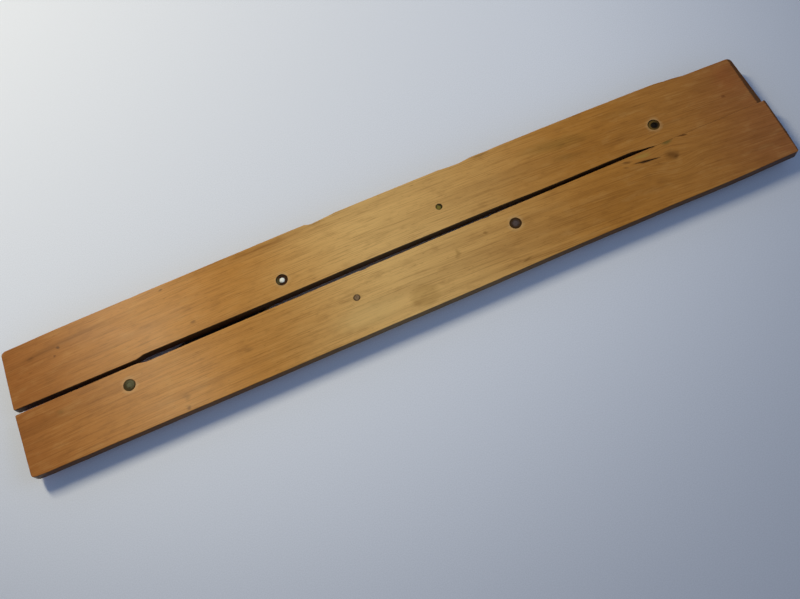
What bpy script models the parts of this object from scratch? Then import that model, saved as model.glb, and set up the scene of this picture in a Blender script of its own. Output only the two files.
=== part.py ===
"""Wooden parallel rule: two boards joined by two brass links.

The rule lies on its ruled side, so the plain back of both boards faces up (+Z).
X runs along the rule and Y across it, from the lower board to the upper one.
The rivet heads and the finger knobs under the boards all stand on z = 0.
"""
import math

import bmesh
import bpy
from mathutils import Vector

MM = 0.001

# Boards
LENGTH = 457.2 * MM             # an 18 inch rule
HALF_DEPTH = 38.9 * MM          # from the rule's middle line to the ruling edge
BOARD_THICK = 6.35 * MM
END_OFFSET = 0.2 * MM           # the boards' ends lie this far to the right of nominal
END_SKEW = 0.6 * MM             # how far the left ends lean out towards the slot
ARRIS = 0.4 * MM                # worn rounding along every board edge
JOINT_GAP = 0.3 * MM            # between the boards where their inner edges meet
SLOT_END = Vector((158.4, -1.6)) * MM   # the slot closes here, and the inner edges meet
JOINT_RIGHT = -1.9 * MM         # height of the joint line at the right end
RELIEF_LEFT = -152.5 * MM       # both inner edges are relieved from here to the slot's end
RELIEF_SLOPE = 5.0 * MM         # length of the slope that leads into the relief

# Hardware under the boards
LIFT = 5.0 * MM                 # from the surface below to the boards' ruled face
GAP = 0.3 * MM                  # clearance between neighbouring pieces
LINK_THICK = 1.6 * MM
LINK_WIDTH = 12.0 * MM
SPACER_THICK = 0.5 * MM
ROSETTE_THICK = 0.4 * MM
RIVET_RADIUS = 1.4 * MM
HEAD_RADIUS = 4.2 * MM
BURR_RADIUS = 3.25 * MM
BURR_THICK = 0.8 * MM
KNOB_RADIUS = 7.0 * MM
KNOB_RIVET_RADIUS = 1.1 * MM
KNOB_TAIL_RADIUS = 1.8 * MM
KNOB_TAIL_THICK = 0.9 * MM

# Both boards are drilled to one pattern: turn the rule half round and it is the same.
PIVOT_OUTER = Vector((165.0, 11.0)) * MM
PIVOT_INNER = Vector((66.6, 12.0)) * MM
KNOB_PLACE = Vector((31.8, 16.0)) * MM

# Heights
RULED_FACE = LIFT
BACK_FACE = LIFT + BOARD_THICK
SPACER_TOP = RULED_FACE - GAP
LINK_TOP = SPACER_TOP - SPACER_THICK - GAP
ROSETTE_TOP = LINK_TOP - LINK_THICK - GAP
HEAD_TOP = ROSETTE_TOP - ROSETTE_THICK - GAP

# name, place, board, depth of the rivet end below the back
PIVOTS = (
    ("lower_left", -PIVOT_OUTER, "lower", 0.0),
    ("lower_right", Vector((PIVOT_INNER.x, -PIVOT_INNER.y)), "lower", 0.0),
    ("upper_left", Vector((-PIVOT_INNER.x, PIVOT_INNER.y)), "upper", 0.5 * MM),
    ("upper_right", PIVOT_OUTER, "upper", 0.6 * MM),
)
KNOBS = (("lower", -KNOB_PLACE), ("upper", KNOB_PLACE))

ROUND_STEPS = 24


# ---------------------------------------------------------------- scene set-up

def clear_scene():
    for old in list(bpy.data.objects):
        bpy.data.objects.remove(old, do_unlink=True)


def new_collection(name):
    collection = bpy.data.collections.new(name)
    bpy.context.scene.collection.children.link(collection)
    return collection


def material(name, colour, roughness, metallic=0.0):
    made = bpy.data.materials.new(name)
    made.use_nodes = True
    shader = made.node_tree.nodes["Principled BSDF"]
    shader.inputs["Base Color"].default_value = (*colour, 1.0)
    shader.inputs["Roughness"].default_value = roughness
    shader.inputs["Metallic"].default_value = metallic
    return made


def finish_piece(piece, place, parent, look):
    """Set a piece at a world place under its parent and give it its material."""
    piece.parent = parent
    base = parent.matrix_world.translation if parent else Vector()
    piece.location = Vector(place) - base
    piece.data.materials.clear()
    piece.data.materials.append(look)
    return piece


def pivot_empty(name, place, parent=None):
    """An empty on a joint's axis, which its moving pieces are parented to."""
    empty = bpy.data.objects.new(name, None)
    empty.empty_display_size = 10 * MM
    base = parent.matrix_world.translation if parent else Vector()
    empty.parent = parent
    empty.location = Vector((place.x, place.y, 0.0)) - base
    PARTS.objects.link(empty)
    bpy.context.view_layer.update()
    return empty


# ---------------------------------------------------------------- shape makers

def turned(name, profile, collection, steps=ROUND_STEPS, closed=False):
    """Turn an outline about Z; it runs down its outer side from the top."""
    count = len(profile)
    edges = [(i, i + 1) for i in range(count - 1)]
    if closed:
        edges.append((count - 1, 0))
    mesh = bpy.data.meshes.new(name)
    mesh.from_pydata([(radius, 0.0, height) for radius, height in profile], edges, [])
    piece = bpy.data.objects.new(name, mesh)
    collection.objects.link(piece)
    screw = piece.modifiers.new("Turn", "SCREW")
    screw.axis = "Z"
    screw.steps = steps
    screw.render_steps = steps
    screw.use_merge_vertices = True
    screw.merge_threshold = 0.00001
    screw.use_smooth_shade = False
    return piece


def ring_profile(inner, outer, top, thick):
    return [(outer, top), (outer, top - thick), (inner, top - thick), (inner, top)]


def arc(centre, radius, start, end, steps):
    """Points on an arc, from one angle in degrees to another."""
    points = []
    for step in range(steps + 1):
        angle = math.radians(start + (end - start) * step / steps)
        points.append((centre[0] + radius * math.cos(angle), centre[1] + radius * math.sin(angle)))
    return points


def rounded_corner(before, corner, after, radius, steps=5):
    """Replace a corner by an arc that is tangent to both of its sides."""
    corner = Vector(corner)
    side_in = (Vector(before) - corner).normalized()
    side_out = (Vector(after) - corner).normalized()
    half = side_in.angle(side_out) / 2
    reach = radius / math.tan(half)
    centre = corner + (side_in + side_out).normalized() * radius / math.sin(half)
    first = corner + side_in * reach - centre
    last = corner + side_out * reach - centre
    points = []
    for step in range(steps + 1):
        blended = first.lerp(last, step / steps).normalized() * radius
        points.append(tuple(centre + blended))
    return points


def smooth_run(points, per_span=4):
    """A Catmull-Rom curve through the points of a worn edge."""
    run = [Vector(point) for point in points]
    run = [run[0] * 2 - run[1]] + run + [run[-1] * 2 - run[-2]]
    result = []
    for i in range(1, len(run) - 2):
        p0, p1, p2, p3 = run[i - 1:i + 3]
        for step in range(per_span):
            t = step / per_span
            curve = (p1 * 2 + (p2 - p0) * t + (p0 * 2 - p1 * 5 + p2 * 4 - p3) * t ** 2
                     + (p1 * 3 - p0 - p2 * 3 + p3) * t ** 3)
            result.append(tuple(curve / 2))
    result.append(tuple(run[-2]))
    return result


def plate(name, outline, thick, edge_round, collection):
    """A flat piece with rounded edges, centred on its own middle height."""
    curve = bpy.data.curves.new(name + "_outline", "CURVE")
    curve.dimensions = "2D"
    curve.fill_mode = "BOTH"
    curve.extrude = thick / 2 - edge_round
    curve.bevel_depth = edge_round
    curve.bevel_resolution = 1
    curve.offset = -edge_round
    spline = curve.splines.new("POLY")
    spline.points.add(len(outline) - 1)
    for point, (x, y) in zip(spline.points, outline):
        point.co = (x, y, 0.0, 1.0)
    spline.use_cyclic_u = True
    source = bpy.data.objects.new(name + "_outline", curve)
    collection.objects.link(source)
    bpy.context.view_layer.update()
    evaluated = source.evaluated_get(bpy.context.evaluated_depsgraph_get())
    mesh = bpy.data.meshes.new_from_object(evaluated)
    mesh.name = name
    bm = bmesh.new()
    bm.from_mesh(mesh)
    bmesh.ops.remove_doubles(bm, verts=bm.verts, dist=0.00001)
    bmesh.ops.recalc_face_normals(bm, faces=bm.faces)
    bm.to_mesh(mesh)
    bm.free()
    piece = bpy.data.objects.new(name, mesh)
    piece.matrix_world = source.matrix_world
    collection.objects.link(piece)
    bpy.data.objects.remove(source, do_unlink=True)
    return piece


def cut_with(piece, cutter):
    cutter.hide_render = True
    cutter.display_type = "WIRE"
    cut = piece.modifiers.new("Cut " + cutter.name, "BOOLEAN")
    cut.operation = "DIFFERENCE"
    cut.solver = "EXACT"
    cut.object = cutter


# ---------------------------------------------------------------- boards

def lower_outline():
    """Straight ruling edge at the bottom; the inner edge is relieved along its middle."""
    left = -LENGTH / 2 + END_OFFSET
    right = LENGTH / 2 + END_OFFSET
    edge = -HALF_DEPTH
    half_gap = JOINT_GAP / 2
    slot_end = (SLOT_END.x, SLOT_END.y - half_gap)
    inner_right = (right, JOINT_RIGHT - half_gap)
    inner_left = (left - END_SKEW, -1.1 * MM)
    corner = (left, edge)
    far_corner = (right - 0.5 * MM, edge)
    square_end = (right, -25.0 * MM)
    relief_start = (RELIEF_LEFT - RELIEF_SLOPE, -0.8 * MM)
    outline = []
    outline += rounded_corner(inner_left, corner, far_corner, 2.5 * MM)
    outline += rounded_corner(corner, far_corner, square_end, 1.2 * MM)
    outline += [square_end]
    outline += rounded_corner(square_end, inner_right, slot_end, 0.8 * MM)
    outline += [
        slot_end,
        (20.0 * MM, -1.4 * MM),
        (RELIEF_LEFT, -1.9 * MM),
        relief_start,
    ]
    outline += rounded_corner(relief_start, inner_left, corner, 0.8 * MM)
    return outline


def upper_outline():
    """The outer edge is worn in a long bow and drops at the right; the inner edge is relieved."""
    half_gap = JOINT_GAP / 2
    slot_end = (SLOT_END.x, SLOT_END.y + half_gap)
    outer_left = (-LENGTH / 2 + END_OFFSET, 37.8 * MM)
    inner_left = (-LENGTH / 2 + END_OFFSET - END_SKEW, 1.95 * MM)
    inner_right = (226.9 * MM, JOINT_RIGHT + half_gap)
    outer_right = (225.8 * MM, 32.1 * MM)
    bow = smooth_run([
        (196.0 * MM, 33.2 * MM),
        (186.0 * MM, 34.6 * MM),
        (174.0 * MM, 35.6 * MM),
        (120.0 * MM, 36.9 * MM),
        (0.0, 38.4 * MM),
        (-70.0 * MM, 38.8 * MM),
        (-196.0 * MM, 38.6 * MM),
    ])
    relief_start = (RELIEF_LEFT - RELIEF_SLOPE, 1.6 * MM)
    outline = []
    outline += rounded_corner(slot_end, inner_right, outer_right, 0.8 * MM)
    outline += rounded_corner(inner_right, outer_right, bow[0], 3.0 * MM)
    outline += bow
    outline += rounded_corner(bow[-1], outer_left, inner_left, 2.5 * MM)
    outline += rounded_corner(outer_left, inner_left, relief_start, 0.8 * MM)
    outline += [
        relief_start,
        (RELIEF_LEFT, 2.8 * MM),
        (-75.0 * MM, 2.4 * MM),
        (-25.0 * MM, 2.7 * MM),
        (60.0 * MM, 1.8 * MM),
        (90.0 * MM, 1.0 * MM),
        (145.0 * MM, 0.5 * MM),
        slot_end,
    ]
    return outline


def pivot_hole(name, depth):
    """Cutter for a rivet hole with the burr's recess at the back."""
    reach = 2 * MM
    recess = BURR_RADIUS + GAP
    hole = RIVET_RADIUS + GAP
    floor = BACK_FACE - depth - BURR_THICK - GAP
    profile = [(0.0, BACK_FACE + reach), (recess, BACK_FACE + reach), (recess, floor),
               (hole, floor), (hole, RULED_FACE - reach), (0.0, RULED_FACE - reach)]
    return turned(name, profile, CUTTERS)


def knob_hole(name):
    reach = 2 * MM
    recess = KNOB_TAIL_RADIUS + GAP
    hole = KNOB_RIVET_RADIUS + GAP
    floor = BACK_FACE - KNOB_TAIL_THICK - GAP
    profile = [(0.0, BACK_FACE + reach), (recess, BACK_FACE + reach), (recess, floor),
               (hole, floor), (hole, RULED_FACE - reach), (0.0, RULED_FACE - reach)]
    return turned(name, profile, CUTTERS)


def make_board(side, outline, parent, look):
    """A board is a plate on its outline, drilled for its two pivots and its knob."""
    board = plate(side + "_board", outline, BOARD_THICK, ARRIS, PARTS)
    for name, place, owner, depth in PIVOTS:
        if owner == side:
            cutter = pivot_hole(name + "_pivot_hole", depth)
            cutter.location = (place.x, place.y, 0.0)
            cut_with(board, cutter)
    for owner, place in KNOBS:
        if owner == side:
            cutter = knob_hole(side + "_knob_hole")
            cutter.location = (place.x, place.y, 0.0)
            cut_with(board, cutter)
    middle = RULED_FACE + BOARD_THICK / 2
    return finish_piece(board, (0.0, 0.0, middle), parent, look)


# ---------------------------------------------------------------- links

def make_link(name, start, end, parent, look):
    """A flat brass bar with round ends, turning on the rivet at its start."""
    along = end - start
    length = along.length
    half = LINK_WIDTH / 2
    outline = arc((0.0, 0.0), half, 90, 270, 16) + arc((length, 0.0), half, -90, 90, 16)
    link = plate(name, outline, LINK_THICK, 0.2 * MM, PARTS)
    angle = math.atan2(along.y, along.x)
    link.rotation_euler.z = angle
    hole = RIVET_RADIUS + GAP
    for label, place in (("start", start), ("end", end)):
        profile = [(0.0, LIFT), (hole, LIFT), (hole, -LIFT), (0.0, -LIFT)]
        cutter = turned(name + "_" + label + "_hole", profile, CUTTERS)
        cutter.location = (place.x, place.y, LINK_TOP - LINK_THICK / 2)
        cut_with(link, cutter)
    return finish_piece(link, (start.x, start.y, LINK_TOP - LINK_THICK / 2), parent, look)


# ---------------------------------------------------------------- hardware

def rivet_profile(tail_height):
    """Low domed head below, plain shank, slightly domed closed end at the back."""
    crown = 0.25 * MM
    foot = 2.2 * MM
    steps = 5
    dome = []
    for step in range(steps + 1):
        turn = math.radians(90 * step / steps)
        radius = foot + (HEAD_RADIUS - foot) * math.cos(turn)
        dome.append((radius, HEAD_TOP * 0.75 * (1 - math.sin(turn))))
    return [(0.0, tail_height), (RIVET_RADIUS * 0.6, tail_height - crown * 0.3),
            (RIVET_RADIUS, tail_height - crown), (RIVET_RADIUS, HEAD_TOP),
            (HEAD_RADIUS, HEAD_TOP)] + dome + [(0.0, 0.0)]


def make_pivot_hardware(name, place, depth, parent, brass, tail_look):
    """Rivet, back burr, spacer washer and rosette washer of one pivot."""
    tail = BACK_FACE - depth
    bore = RIVET_RADIUS + GAP
    pieces = (
        ("_pivot_rivet", rivet_profile(tail), False, brass),
        ("_back_burr", ring_profile(bore, BURR_RADIUS, tail, BURR_THICK), True, tail_look),
        ("_spacer_washer", ring_profile(bore, 4.5 * MM, SPACER_TOP, SPACER_THICK), True, brass),
        ("_rosette_washer", ring_profile(bore, 5.0 * MM, ROSETTE_TOP, ROSETTE_THICK), True, brass),
    )
    for suffix, profile, closed, look in pieces:
        piece = turned(name + suffix, profile, PARTS, closed=closed)
        finish_piece(piece, (place.x, place.y, 0.0), parent, look)


def knob_profile(top):
    """A low turned knob with a waist, a blind bore for its rivet and a dished foot."""
    bore = KNOB_RIVET_RADIUS + GAP
    waist = 4.4 * MM
    grip_top = 2.4 * MM
    return [(0.0, 1.6 * MM), (bore, 1.6 * MM), (bore, top), (5.6 * MM, top),
            (5.6 * MM, top - 0.5 * MM), (waist, top - 0.9 * MM),
            (waist, grip_top + 0.5 * MM), (KNOB_RADIUS - 0.5 * MM, grip_top),
            (KNOB_RADIUS, grip_top - 0.5 * MM), (KNOB_RADIUS, 0.6 * MM),
            (KNOB_RADIUS - 0.6 * MM, 0.0), (4.0 * MM, 0.0), (2.5 * MM, 0.35 * MM),
            (0.0, 0.5 * MM)]


def knob_rivet_profile():
    """Flat closed end let into the back, and a shank that runs into the knob."""
    neck = BACK_FACE - KNOB_TAIL_THICK
    foot = 1.6 * MM + GAP
    return [(0.0, BACK_FACE), (KNOB_TAIL_RADIUS, BACK_FACE - 0.1 * MM), (KNOB_TAIL_RADIUS, neck),
            (KNOB_RIVET_RADIUS, neck), (KNOB_RIVET_RADIUS, foot), (0.0, foot)]


def make_knob(side, place, parent, brass, tail_look):
    rosette_top = RULED_FACE - GAP
    knob_top = rosette_top - ROSETTE_THICK - GAP
    bore = KNOB_RIVET_RADIUS + GAP
    pieces = (
        ("_knob", knob_profile(knob_top), False, brass),
        ("_knob_rivet", knob_rivet_profile(), False, tail_look),
        ("_knob_rosette", ring_profile(bore, 6.5 * MM, rosette_top, ROSETTE_THICK), True, brass),
    )
    for suffix, profile, closed, look in pieces:
        piece = turned(side + suffix, profile, PARTS, closed=closed)
        finish_piece(piece, (place.x, place.y, 0.0), parent, look)


# ---------------------------------------------------------------- assembly

clear_scene()
PARTS = new_collection("Parallel rule")
CUTTERS = new_collection("Cutters")

boxwood = material("Boxwood", (0.42, 0.23, 0.075), 0.45)
brass = material("Aged brass", (0.55, 0.40, 0.16), 0.40, 1.0)
dull_metal = material("Oxidised rivet metal", (0.20, 0.19, 0.15), 0.55, 1.0)

lower_left, lower_right, upper_left, upper_right = (pivot[1] for pivot in PIVOTS)
left_axis = pivot_empty("left_link_axis", lower_left)
right_axis = pivot_empty("right_link_axis", lower_right)
board_axis = pivot_empty("upper_board_axis", upper_left, left_axis)
carriers = {"lower": None, "upper": board_axis}

make_board("lower", lower_outline(), None, boxwood)
make_board("upper", upper_outline(), board_axis, boxwood)
make_link("left_link", lower_left, upper_left, left_axis, brass)
make_link("right_link", lower_right, upper_right, right_axis, brass)
for name, place, owner, depth in PIVOTS:
    make_pivot_hardware(name, place, depth, carriers[owner], brass, dull_metal)
for owner, place in KNOBS:
    make_knob(owner, place, carriers[owner], brass, dull_metal)
bpy.context.view_layer.update()
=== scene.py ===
import math

import bmesh
import bpy
from mathutils import Euler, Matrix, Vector, noise


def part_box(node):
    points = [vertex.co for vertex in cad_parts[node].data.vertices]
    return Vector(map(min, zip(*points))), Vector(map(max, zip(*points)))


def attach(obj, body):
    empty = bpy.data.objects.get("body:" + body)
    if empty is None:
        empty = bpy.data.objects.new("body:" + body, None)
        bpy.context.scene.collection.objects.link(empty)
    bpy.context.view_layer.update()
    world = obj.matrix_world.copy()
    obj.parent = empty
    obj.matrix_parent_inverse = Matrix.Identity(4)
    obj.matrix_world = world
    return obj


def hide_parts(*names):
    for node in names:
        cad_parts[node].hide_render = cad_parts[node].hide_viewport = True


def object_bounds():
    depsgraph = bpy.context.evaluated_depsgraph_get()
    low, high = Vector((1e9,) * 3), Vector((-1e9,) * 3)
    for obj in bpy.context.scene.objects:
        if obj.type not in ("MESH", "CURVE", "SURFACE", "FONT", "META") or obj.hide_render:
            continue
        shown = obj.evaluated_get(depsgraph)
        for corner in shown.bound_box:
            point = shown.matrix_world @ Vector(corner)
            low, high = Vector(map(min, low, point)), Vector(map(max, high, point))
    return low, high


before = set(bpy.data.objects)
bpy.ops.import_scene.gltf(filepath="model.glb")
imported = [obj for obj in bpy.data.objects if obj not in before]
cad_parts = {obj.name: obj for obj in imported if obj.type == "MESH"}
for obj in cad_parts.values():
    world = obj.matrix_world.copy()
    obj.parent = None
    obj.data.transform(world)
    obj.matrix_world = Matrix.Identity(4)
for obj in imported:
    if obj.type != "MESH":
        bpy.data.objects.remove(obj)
cadLow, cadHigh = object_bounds()
print("frame loaded,", len(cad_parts), "nodes")

mm = 0.001
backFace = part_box("lower_board")[1].z  # plain back of the boards, which faces up
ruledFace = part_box("lower_board")[0].z
boardArris = 0.4 * mm  # rounding of the CAD boards


def nodeCentre(node):
    low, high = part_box(node)
    return (low + high) / 2


pivots = {
    side: nodeCentre(side + "_pivot_rivet")
    for side in ("lower_left", "lower_right", "upper_left", "upper_right")
}
knobs = {side: nodeCentre(side + "_knob") for side in ("lower", "upper")}

# ---- camera and light

cameraSetup = {
    "place": (-0.03748, -0.20692, 0.46337),
    "turn": (21.221, 5.591, -22.643),  # degrees
    "lens": 39.82,
    "sensor": 36.0,
}

lightSetup = {
    "keyPlace": (-0.36, 0.54, 0.714),
    "keyWidth": 0.12,
    "keyHeight": 0.34,
    "keyPower": 5.45,
    "keyColour": "#fff8dc",
    "skyColour": "#b9d3ff",
    "skyLow": 0.68,  # the room is brighter towards its walls than overhead
    "skyHigh": 0.105,
    "windowPlace": (1.2, -0.2, 1.0),
    "windowSize": 0.9,
    "windowPower": 2.6,
    "windowColour": "#a9ccff",
}

floorSetup = {
    "halfSize": 3.0,
    "below": 0.02 * mm,
    "near": "#f0f0f4",
    "far": "#bcbec6",
    "brightSpot": (-0.05, 0.15, 0.0),  # centre of a painted pool of light: the table colour is palest here
    "reach": (0.18, 0.46),
    "speckSpacing": 0.6 * mm,
}


def hexColour(text, alpha=1.0):
    # sRGB hex to the linear values that nodes take
    linear = []
    for start in (1, 3, 5):
        value = int(text[start:start + 2], 16) / 255
        linear.append(value / 12.92 if value <= 0.04045 else ((value + 0.055) / 1.055) ** 2.4)
    return (*linear, alpha)


def addNode(tree, kind, settings=None, links=None):
    node = tree.nodes.new(kind)
    for name, value in (settings or {}).items():
        setattr(node, name, value)
    for socket, value in (links or {}).items():
        if isinstance(value, bpy.types.NodeSocket):
            tree.links.new(value, node.inputs[socket])
        else:
            node.inputs[socket].default_value = value
    return node


def newMaterial(name):
    material = bpy.data.materials.new(name)
    material.use_nodes = True
    tree = material.node_tree
    tree.nodes.clear()
    shader = addNode(tree, "ShaderNodeBsdfPrincipled")
    addNode(tree, "ShaderNodeOutputMaterial", links={"Surface": shader.outputs[0]})
    return material, tree, shader


def objectPoint(tree):
    return addNode(tree, "ShaderNodeTexCoord").outputs["Object"]


def mixColours(tree, factor, first, second, blend="MIX"):
    node = addNode(tree, "ShaderNodeMix", {"data_type": "RGBA", "blend_type": blend},
                   {0: factor, 6: first, 7: second})
    return node.outputs[2]


def fade(tree, value, start, end, low=0.0, high=1.0):
    # smooth change from low to high as value goes from start to end
    node = addNode(tree, "ShaderNodeMapRange", {"interpolation_type": "SMOOTHSTEP"},
                   {0: value, 1: start, 2: end, 3: low, 4: high})
    return node.outputs[0]


def combine(tree, kind, first, second=0.0):
    return addNode(tree, "ShaderNodeMath", {"operation": kind}, {0: first, 1: second}).outputs[0]


def stretchedNoise(tree, point, grain, detail=3.0, turn=0.0, shift=(0.0, 0.0, 0.0), roughness=0.55):
    # grain holds the size of the pattern along, across and through the piece, in metres
    placed = addNode(tree, "ShaderNodeMapping", links={
        "Vector": point, "Location": shift, "Rotation": (0.0, 0.0, math.radians(turn))})
    scaled = addNode(tree, "ShaderNodeVectorMath", {"operation": "MULTIPLY"}, {
        0: placed.outputs[0], 1: tuple(1 / size for size in grain)})
    made = addNode(tree, "ShaderNodeTexNoise", links={
        "Vector": scaled.outputs[0], "Scale": 1.0, "Detail": detail, "Roughness": roughness})
    return made.outputs["Fac"]


def meshObject(name, bm):
    mesh = bpy.data.meshes.new(name)
    bm.to_mesh(mesh)
    bm.free()
    made = bpy.data.objects.new(name, mesh)
    bpy.context.scene.collection.objects.link(made)
    return made


def makeCamera():
    data = bpy.data.cameras.new("mainCamera")
    data.lens = cameraSetup["lens"]
    data.sensor_width = cameraSetup["sensor"]
    camera = bpy.data.objects.new("mainCamera", data)
    camera.location = cameraSetup["place"]
    camera.rotation_euler = Euler([math.radians(angle) for angle in cameraSetup["turn"]])
    bpy.context.scene.collection.objects.link(camera)
    bpy.context.scene.camera = camera


def makePanel(name, place, width, height, power, colour):
    data = bpy.data.lights.new(name, "AREA")
    data.shape = "RECTANGLE"
    data.size = width
    data.size_y = height
    data.energy = power
    data.color = hexColour(colour)[:3]
    light = bpy.data.objects.new(name, data)
    light.location = place
    light.rotation_euler = (-Vector(place)).to_track_quat("-Z", "Y").to_euler()  # faces the rule
    bpy.context.scene.collection.objects.link(light)


def makeLights():
    makePanel("softBox", lightSetup["keyPlace"], lightSetup["keyWidth"], lightSetup["keyHeight"],
              lightSetup["keyPower"], lightSetup["keyColour"])
    makePanel("windowGlow", lightSetup["windowPlace"], lightSetup["windowSize"],
              lightSetup["windowSize"], lightSetup["windowPower"], lightSetup["windowColour"])
    world = bpy.data.worlds.new("roomLight")
    world.use_nodes = True
    background = world.node_tree.nodes["Background"]
    background.inputs["Color"].default_value = hexColour(lightSetup["skyColour"])
    up = addNode(world.node_tree, "ShaderNodeSeparateXYZ", links={0: objectPoint(world.node_tree)})
    strength = fade(world.node_tree, up.outputs[2], 0.2, 1.0, lightSetup["skyLow"], lightSetup["skyHigh"])
    world.node_tree.links.new(strength, background.inputs["Strength"])
    bpy.context.scene.world = world


def makeFloor():
    half = floorSetup["halfSize"]
    bm = bmesh.new()
    bmesh.ops.create_grid(bm, x_segments=1, y_segments=1, size=half)
    floor = meshObject("floor", bm)
    floor.location.z = cadLow.z - floorSetup["below"]
    material, tree, shader = newMaterial("mattLaminateTableTop")  # pale smooth table, no gloss
    point = objectPoint(tree)
    # painted light falloff: the table colour fades from pale at the pool centre to darker grey further out
    away = addNode(tree, "ShaderNodeVectorMath", {"operation": "DISTANCE"}, {
        0: point, 1: floorSetup["brightSpot"]})
    share = fade(tree, away.outputs["Value"], *floorSetup["reach"])
    colour = mixColours(tree, share, hexColour(floorSetup["near"]), hexColour(floorSetup["far"]))
    speck = stretchedNoise(tree, point, (floorSetup["speckSpacing"],) * 3, 2.0)
    grey = hexColour("#f6f6f6")
    colour = mixColours(tree, fade(tree, speck, 0.3, 0.7), colour, grey, "MULTIPLY")
    tree.links.new(colour, shader.inputs["Base Color"])
    shader.inputs["Roughness"].default_value = 0.75
    shader.inputs["Specular IOR Level"].default_value = 0.2
    floor.data.materials.append(material)


makeCamera()
makeLights()
makeFloor()
bpy.context.scene.view_settings.view_transform = "Standard"
print("camera, light and floor made")

# ---- boxwood

woodTone = {
    # tone along the rule, from the left end to the right one: place in metres, colour
    "along": (
        (-0.225, "#a86830"),  # orange brown, most handled
        (-0.150, "#cc8a40"),
        (-0.080, "#cc9048"),
        (-0.010, "#e8b870"),  # palest round the middle
        (0.100, "#c48840"),
        (0.180, "#b07434"),
        (0.225, "#9c6030"),
    ),
    "grainDark": "#6e3f16",
    "grainPale": "#dfae68",
    "edgeDirt": "#231b1a",
    "endGrain": "#4a2c14",
    "endRim": "#2f2113",  # painted shade: a dark band along the right ends, where the end edge looks shaded
    "hollow": "#1a0f06",  # painted shade inside splits and rivet holes
    "halo": "#dcb67e",  # cleaner wood round the rivets
}

woodGrain = {
    "slope": 0.026,  # the grain runs slightly down to the right
    "bend": 0.15,  # and steepens towards that end, per metre
    "fine": (22 * mm, 0.55 * mm, 0.9 * mm),  # fibre streaks, drawn about twice as wide as real ones
    "bands": (160 * mm, 7 * mm, 14 * mm),  # growth rings cut flat
    "cloud": (45 * mm, 22 * mm, 22 * mm),  # handling and old varnish
    "mottle": (11 * mm, 5 * mm, 8 * mm),
    "pore": (3.6 * mm, 0.45 * mm, 0.8 * mm),
}

grainDetail = {"fine": 3.0, "bands": 2.0, "pore": 1.0, "mottle": 3.0}

grainLayers = (
    # pattern, value where it starts, value where it is full, its share, its tone
    ("bands", 0.42, 0.72, 0.20, "grainDark"),
    ("mottle", 0.50, 0.75, 0.20, "grainDark"),
    ("mottle", 0.48, 0.28, 0.12, "grainPale"),
    ("fine", 0.45, 0.75, 0.36, "grainDark"),
    ("fine", 0.46, 0.25, 0.14, "grainPale"),
    ("pore", 0.62, 0.80, 0.35, "grainDark"),
)

woodFinish = {
    "frayScale": (110.0, 300.0, 300.0),  # the edges of marks are ragged along the grain
    "fray": (6.0 * mm, 1.8 * mm, 0.0),
    "haloSize": 5.2,  # mm
    "halo": 0.3,
    "sideDirt": 0.76,
    "endDirt": 0.85,
    "rimWidth": 0.8 * mm,
    "rimDirt": 0.75,
    "hollow": 0.85,
    "roughness": (0.31, 0.37),
    "specular": 0.13,
    "anisotropic": 0.95,  # planing marks run with the grain
    "bump": 0.6,
    "bumpHeight": 0.05 * mm,
}

# at and size are in mm on the back, turn in degrees, soft from 0 hard edge to 1
markColumns = ("at", "size", "turn", "soft", "tone", "amount")

lowerMarks = (
    ((164.6, -11.0), (4.6, 4.0), -8, 0.9, "#663c12", 0.7),
    ((166.0, -12.8), (2.8, 1.5), 20, 0.9, "#5a330d", 0.45),
    ((149.8, -4.4), (6.2, 1.9), -6, 0.8, "#b08a3e", 0.6),
    ((150.3, -8.3), (8.4, 1.0), -9, 0.8, "#3d210b", 0.85),
    ((139.5, -4.6), (3.6, 0.9), -14, 0.9, "#54300f", 0.6),
    ((137.5, -7.2), (2.6, 0.8), -20, 0.9, "#603813", 0.45),
    ((166.0, -2.0), (4.6, 1.9), -5, 0.8, "#5c5524", 0.65),
    ((176.4, -2.3), (3.0, 0.8), -8, 0.7, "#4a250a", 0.75),
    ((155.0, -13.4), (8.0, 1.0), -8, 1.0, "#6e4118", 0.35),
    ((153.0, -23.5), (6.0, 2.4), -15, 1.0, "#7a4a1c", 0.35),
    ((-29.0, -28.0), (24.0, 9.5), 1, 0.8, "#e3bd78", 0.35),
    ((3.2, -30.8), (9.0, 7.6), 4, 0.45, "#9a6f2e", 0.3),
    ((49.3, -10.3), (1.6, 1.3), 20, 0.9, "#7d5420", 0.5),
    ((29.5, -15.5), (1.7, 3.9), -15, 1.0, "#86602a", 0.4),
    ((62.8, -34.9), (3.4, 0.9), 12, 0.9, "#6f4a1c", 0.5),
    ((-98.2, -19.4), (3.6, 2.0), 0, 1.0, "#7a5024", 0.4),
    ((-137.2, -30.5), (2.6, 3.6), 10, 1.0, "#7d5023", 0.4),
    ((-138.2, -37.0), (1.7, 1.3), 0, 0.9, "#6b4218", 0.6),
    ((-205.3, -9.9), (3.0, 2.0), 0, 1.0, "#7a5a28", 0.4),
)

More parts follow.
